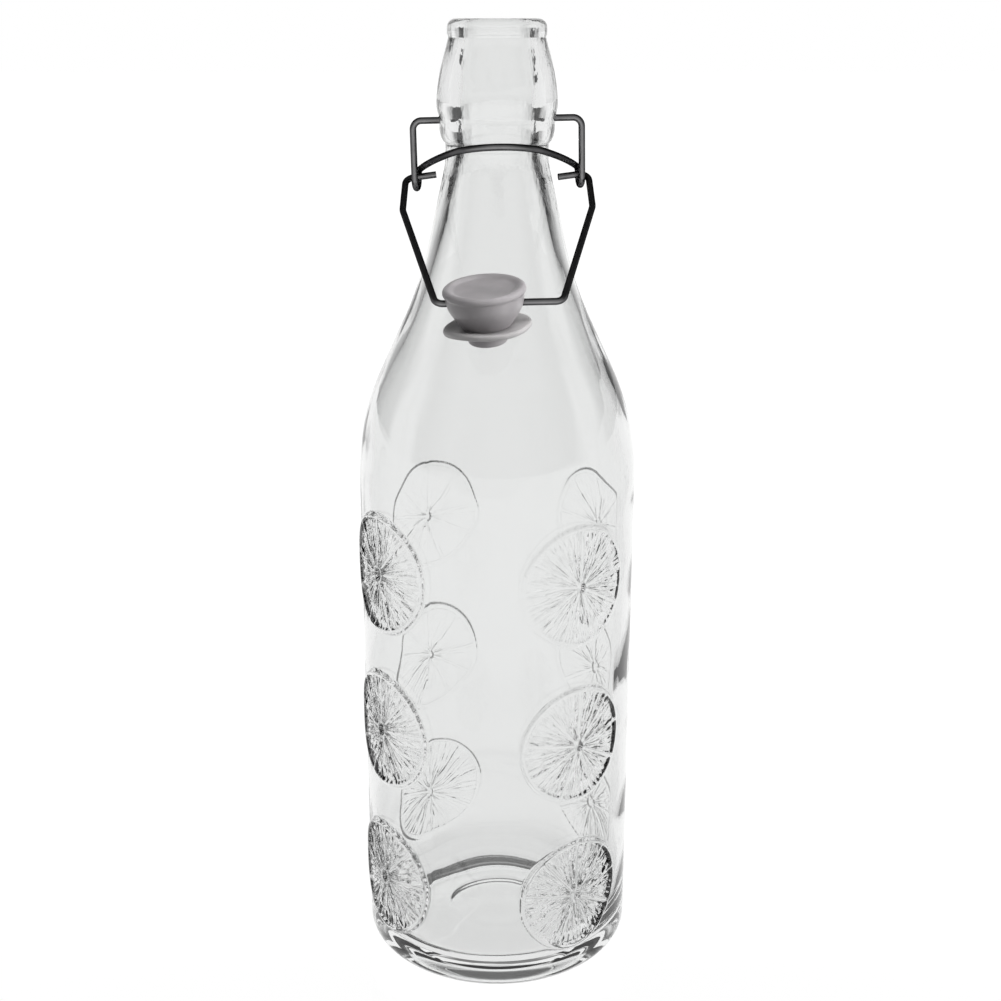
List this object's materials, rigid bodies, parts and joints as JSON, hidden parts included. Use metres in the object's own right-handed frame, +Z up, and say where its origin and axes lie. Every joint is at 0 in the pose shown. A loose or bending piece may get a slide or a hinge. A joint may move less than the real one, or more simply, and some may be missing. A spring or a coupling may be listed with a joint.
{
  "type": "swing top bottle",
  "caption": "clear glass bottle with embossed citrus slices, a wide ringed mouth, and a swing closure of bent steel wires, a moulded stopper and a soft gasket",
  "frame": {"origin": "centre of the base, on the plane that the bottle stands on", "axes": "+Z up along the bottle's axis, -Y towards the side that the closure opens to, +X along the lever's pins"},
  "size_m": [0.0888, 0.0976, 0.3038],
  "materials": {
    "clear_glass": "clear, smooth, slightly uneven pressed glass",
    "steel_wire": "drawn spring wire, dark grey with a soft shine",
    "stopper_plastic": "moulded, grey-white, satin",
    "gasket_rubber": "translucent grey silicone, slightly wavy at the rim"
  },
  "bodies": {
    "bottle": {"bottle": "clear_glass"},
    "lever": {"lever_wire": "steel_wire"},
    "bail": {"bail_wire": "steel_wire"},
    "closure": {"stopper": "stopper_plastic", "gasket": "gasket_rubber"}
  },
  "joints": [
    {"name": "lever_hinge", "type": "hinge", "parent": "bottle", "child": "lever", "pos_m": [0, 0, 0.275], "axis": [-0.9998, 0, -0.0209], "range_deg": [0, 60]},
    {"name": "bail_hinge", "type": "hinge", "parent": "lever", "child": "bail", "pos_m": [-0.00004, 0.00277, 0.25799], "axis": [-0.9998, 0, -0.0209], "range_deg": [0, 70]},
    {"name": "stopper_hinge", "type": "hinge", "parent": "bail", "child": "closure", "pos_m": [-0.00339, -0.04093, 0.22687], "axis": [-0.9998, 0, -0.0209], "range_deg": [-30, 60]}
  ]
}
